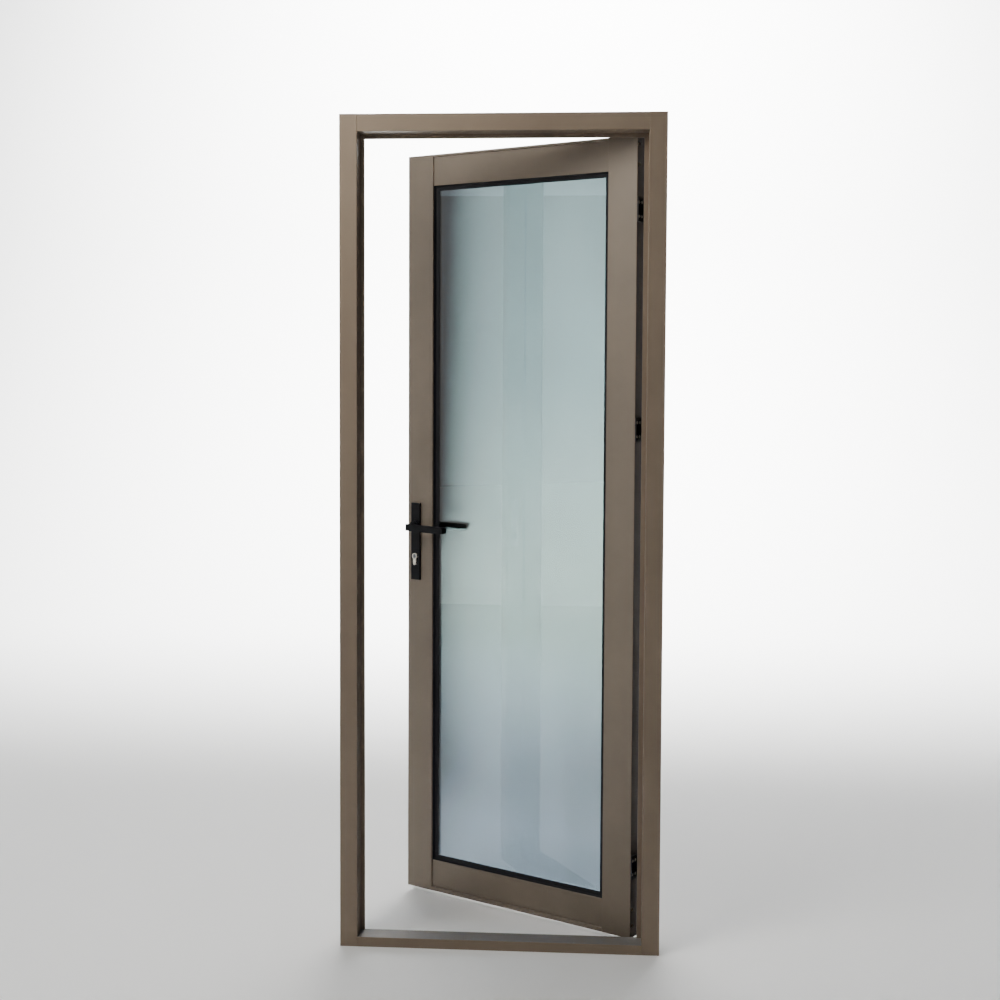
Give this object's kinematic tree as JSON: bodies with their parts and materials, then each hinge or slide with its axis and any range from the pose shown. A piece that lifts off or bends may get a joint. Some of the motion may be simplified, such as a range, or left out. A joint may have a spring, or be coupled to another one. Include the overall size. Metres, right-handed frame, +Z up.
{
  "type": "glass entrance door",
  "caption": "Hinged glass entrance door: an aluminium leaf with double glazing, lever handles and a cylinder lock, standing ajar in its own outer frame.",
  "frame": {"origin": "middle of the underside of the sill, at half the frame's depth", "axes": "+Z up; +X along the opening towards the hinge side; +Y through the opening, from the stop side to the side that the leaf opens to"},
  "size_m": [0.81, 0.5026, 2.1],
  "materials": {
    "frame_aluminium": "satin bronze-brown powder coat on extruded aluminium",
    "leaf_aluminium": "satin bronze-brown powder coat on extruded aluminium",
    "seal_rubber": "matt black rubber",
    "edge_sealant": "matt black sealant",
    "spacer_metal": "dull mill-finish spacer bar",
    "glazing": "clear float glass with a faint grey-blue tint",
    "black_plastic": "moulded black nylon",
    "hinge_black": "black powder coat",
    "handle_black": "black powder coat, slightly glossy",
    "screw_steel": "bright zinc plated steel",
    "lock_steel": "brushed stainless steel",
    "cylinder_nickel": "satin nickel on brass"
  },
  "bodies": {
    "frame": {"jamb_hinge_side": "frame_aluminium", "jamb_lock_side": "frame_aluminium", "head": "frame_aluminium", "sill": "frame_aluminium", "frame_joint_screws": "screw_steel", "frame_seal_hinge_side": "seal_rubber", "frame_seal_lock_side": "seal_rubber", "frame_seal_top": "seal_rubber", "frame_seal_bottom": "seal_rubber", "strike_plate": "lock_steel", "strike_boxes": "black_plastic", "strike_magnet": "screw_steel", "strike_screws": "screw_steel", "hinge_bottom_frame_leaf": "hinge_black", "hinge_middle_frame_leaf": "hinge_black", "hinge_top_frame_leaf": "hinge_black", "hinge_bottom_pin": "hinge_black", "hinge_middle_pin": "hinge_black", "hinge_top_pin": "hinge_black", "hinge_washers": "black_plastic", "hinge_frame_screws": "screw_steel"},
    "leaf": {"stile_hinge_side": "leaf_aluminium", "stile_lock_side": "leaf_aluminium", "top_rail": "leaf_aluminium", "bottom_rail": "leaf_aluminium", "rail_joint_screws": "screw_steel", "glass_near": "glazing", "glass_far": "glazing", "glass_spacer": "spacer_metal", "edge_seal": "edge_sealant", "glazing_gasket_near": "seal_rubber", "glazing_gasket_far": "seal_rubber", "setting_blocks": "black_plastic", "bead_top": "leaf_aluminium", "bead_bottom": "leaf_aluminium", "bead_hinge_side": "leaf_aluminium", "bead_lock_side": "leaf_aluminium", "hinge_bottom_door_leaf": "hinge_black", "hinge_middle_door_leaf": "hinge_black", "hinge_top_door_leaf": "hinge_black", "hinge_door_screws": "screw_steel", "lock_case": "lock_steel", "lock_faceplate": "lock_steel", "lock_lugs": "lock_steel", "faceplate_screws": "screw_steel", "handle_plate_near": "handle_black", "handle_plate_far": "handle_black", "handle_plate_bolts": "handle_black", "cylinder_body": "cylinder_nickel", "cylinder_screw": "screw_steel"},
    "handle": {"lever_near": "handle_black", "lever_far": "handle_black", "spindle": "lock_steel", "lock_follower": "lock_steel", "grub_screws": "screw_steel"},
    "latch": {"latch_bolt": "lock_steel"},
    "bolt": {"dead_bolt": "lock_steel"},
    "near_plug": {"cylinder_plug_near": "cylinder_nickel", "cylinder_cam": "cylinder_nickel"},
    "far_plug": {"cylinder_plug_far": "cylinder_nickel"}
  },
  "joints": [
    {"name": "leaf_swing", "type": "hinge", "parent": "frame", "child": "leaf", "pos_m": [0.36325, 0.06175, 1], "axis": [0, 0, -1], "range_deg": [-30.5, 69.5]},
    {"name": "lever_turn", "type": "hinge", "parent": "leaf", "child": "handle", "pos_m": [-0.25999, 0.36764, 1.037], "axis": [0.5075, 0.8616, 0], "range_deg": [0, 40], "stiffness_Nm_per_rad": 2},
    {"name": "latch_slide", "type": "slide", "parent": "leaf", "child": "latch", "axis": [-0.8616, 0.5075, 0], "range_m": [0, 0.012]},
    {"name": "near_plug_turn", "type": "hinge", "parent": "leaf", "child": "near_plug", "pos_m": [-0.25999, 0.36764, 0.952], "axis": [0.5075, 0.8616, 0], "range_deg": [0, 360]},
    {"name": "dead_bolt_slide", "type": "slide", "parent": "leaf", "child": "bolt", "axis": [-0.8616, 0.5075, 0], "range_m": [0, 0.02]},
    {"name": "far_plug_turn", "type": "hinge", "parent": "leaf", "child": "far_plug", "pos_m": [-0.25999, 0.36764, 0.952], "axis": [0.5075, 0.8616, 0], "range_deg": [0, 360]}
  ],
  "couplings": [
    {"joint": "near_plug_turn", "follows": "dead_bolt_slide", "rad_per_m": 314.16}
  ]
}
